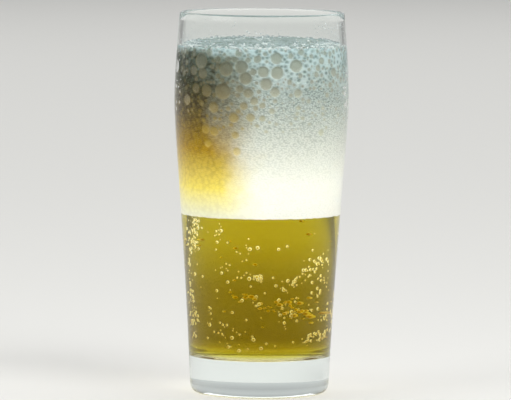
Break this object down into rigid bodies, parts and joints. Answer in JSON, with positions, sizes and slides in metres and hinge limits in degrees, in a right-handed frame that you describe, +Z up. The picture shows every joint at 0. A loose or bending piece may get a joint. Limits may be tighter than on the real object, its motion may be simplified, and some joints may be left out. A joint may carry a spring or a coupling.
{
  "type": "pint of beer",
  "caption": "Tall tumbler with a heavy base, a belly and a drawn-in mouth, half full of pale golden beer under a deep head of bubbly white foam.",
  "frame": {"origin": "centre of the foot, on the plane that the glass stands on", "axes": "+Z up along the glass, towards the mouth; -Y towards the viewer"},
  "size_m": [0.0786, 0.0786, 0.172],
  "materials": {
    "clear_glass": "clear pressed soda-lime glass, fire-polished",
    "pale_beer": "clear pale golden liquid",
    "beer_foam": "wet white foam, coarse bubbles above and cream below"
  },
  "bodies": {
    "root": {"glass": "clear_glass", "beer": "pale_beer", "foam": "beer_foam"}
  },
  "joints": []
}
